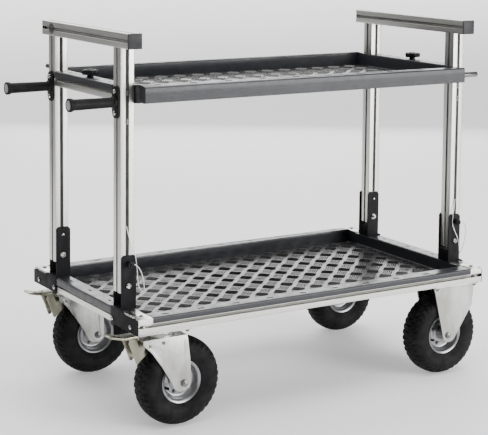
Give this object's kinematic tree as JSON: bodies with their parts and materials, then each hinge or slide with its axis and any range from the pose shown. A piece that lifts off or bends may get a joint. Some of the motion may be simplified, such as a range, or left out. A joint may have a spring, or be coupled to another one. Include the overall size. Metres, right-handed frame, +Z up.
{
  "type": "two-deck equipment cart",
  "caption": "Two-deck equipment cart of T-slot aluminium profile with sheet-metal trays, end frames on pinned hinge brackets, push handles and pneumatic castors.",
  "frame": {"origin": "on the floor, under the middle of the bounding box", "axes": "+X along the cart away from the push handles, +Y across, +Z up"},
  "size_m": [1.5006, 0.7346, 1.165],
  "materials": {
    "anodised": "clear anodised T-slot extrusion, satin",
    "powder": "fine-texture black powder coat with a grazing sheen",
    "bracket": "fine-texture dark grey powder coat",
    "zinc": "zinc plated pressed steel with a faint yellow tint",
    "steel": "bright stranded steel wire",
    "rubber": "matt black pneumatic tyre",
    "plastic": "black moulded plastic",
    "grip": "soft ribbed black grip",
    "rim": "silver painted pressed rim"
  },
  "bodies": {
    "frame": {"base_side_F": "anodised", "base_side_R": "anodised", "base_end_L": "anodised", "base_end_E": "anodised", "lower_tray": "powder", "bracket_FL": "bracket", "bracket_RL": "bracket", "bracket_FE": "bracket", "bracket_RE": "bracket", "pivot_FL": "zinc", "pivot_RL": "zinc", "pivot_FE": "zinc", "pivot_RE": "zinc", "upright_FL": "anodised", "upright_RL": "anodised", "upright_FE": "anodised", "upright_RE": "anodised", "top_rail_L": "anodised", "top_rail_E": "anodised", "end_cap_LF": "plastic", "end_cap_LR": "plastic", "end_cap_EF": "plastic", "end_cap_ER": "plastic", "handle_plate_F": "bracket", "handle_plate_R": "bracket", "grip_F": "grip", "grip_R": "grip", "side_knob_FE": "plastic", "side_knob_RL": "plastic", "swivel_plate_FL": "zinc", "swivel_plate_RL": "zinc", "fork_FE": "zinc", "fork_RE": "zinc", "axle_FE": "zinc", "axle_RE": "zinc", "lanyard_FL": "steel", "lanyard_FE": "steel"},
    "shelf": {"crossbar_L": "anodised", "crossbar_E": "anodised", "upper_tray": "powder"},
    "knob_L": {"star_knob_L": "plastic"},
    "knob_E": {"star_knob_E": "plastic"},
    "pin_FL": {"lock_pin_FL": "plastic"},
    "pin_RL": {"lock_pin_RL": "plastic"},
    "pin_FE": {"lock_pin_FE": "plastic"},
    "pin_RE": {"lock_pin_RE": "plastic"},
    "castor_FL": {"fork_FL": "zinc", "axle_FL": "zinc"},
    "brake_FL": {"brake_pedal_FL": "zinc"},
    "castor_RL": {"fork_RL": "zinc", "axle_RL": "zinc"},
    "brake_RL": {"brake_pedal_RL": "zinc"},
    "wheel_FL": {"rim_FL": "rim", "tyre_FL": "rubber"},
    "wheel_RL": {"rim_RL": "rim", "tyre_RL": "rubber"},
    "wheel_FE": {"rim_FE": "rim", "tyre_FE": "rubber"},
    "wheel_RE": {"rim_RE": "rim", "tyre_RE": "rubber"}
  },
  "joints": [
    {"name": "shelf_height", "type": "slide", "parent": "frame", "child": "shelf", "axis": [0, 0, 1], "range_m": [-0.44, 0.075]},
    {"name": "knob_L_turn", "type": "hinge", "parent": "shelf", "child": "knob_L", "pos_m": [-0.5737, 0, 1.0121], "axis": [0, 0, 1], "continuous": true},
    {"name": "knob_E_turn", "type": "hinge", "parent": "shelf", "child": "knob_E", "pos_m": [0.6513, 0, 1.0121], "axis": [0, 0, 1], "continuous": true},
    {"name": "pin_FL_pull", "type": "slide", "parent": "frame", "child": "pin_FL", "axis": [0, -1, 0], "range_m": [0, 0.07]},
    {"name": "pin_RL_pull", "type": "slide", "parent": "frame", "child": "pin_RL", "axis": [0, 1, 0], "range_m": [0, 0.07]},
    {"name": "pin_FE_pull", "type": "slide", "parent": "frame", "child": "pin_FE", "axis": [0, -1, 0], "range_m": [0, 0.07]},
    {"name": "pin_RE_pull", "type": "slide", "parent": "frame", "child": "pin_RE", "axis": [0, 1, 0], "range_m": [0, 0.07]},
    {"name": "swivel_FL", "type": "hinge", "parent": "frame", "child": "castor_FL", "pos_m": [-0.4912, -0.288, 0.296], "axis": [0, 0, 1], "continuous": true},
    {"name": "brake_FL_press", "type": "hinge", "parent": "castor_FL", "child": "brake_FL", "pos_m": [-0.5432, -0.288, 0.26], "axis": [0, -1, 0], "range_deg": [0, 15]},
    {"name": "swivel_RL", "type": "hinge", "parent": "frame", "child": "castor_RL", "pos_m": [-0.4912, 0.288, 0.296], "axis": [0, 0, 1], "continuous": true},
    {"name": "brake_RL_press", "type": "hinge", "parent": "castor_RL", "child": "brake_RL", "pos_m": [-0.5432, 0.288, 0.26], "axis": [0, -1, 0], "range_deg": [0, 15]},
    {"name": "wheel_FL_spin", "type": "hinge", "parent": "castor_FL", "child": "wheel_FL", "pos_m": [-0.4302, -0.288, 0.1335], "axis": [0, 1, 0], "continuous": true},
    {"name": "wheel_RL_spin", "type": "hinge", "parent": "castor_RL", "child": "wheel_RL", "pos_m": [-0.4302, 0.288, 0.1335], "axis": [0, 1, 0], "continuous": true},
    {"name": "wheel_FE_spin", "type": "hinge", "parent": "frame", "child": "wheel_FE", "pos_m": [0.5613, -0.288, 0.1335], "axis": [0, 1, 0], "continuous": true},
    {"name": "wheel_RE_spin", "type": "hinge", "parent": "frame", "child": "wheel_RE", "pos_m": [0.5613, 0.288, 0.1335], "axis": [0, 1, 0], "continuous": true}
  ]
}
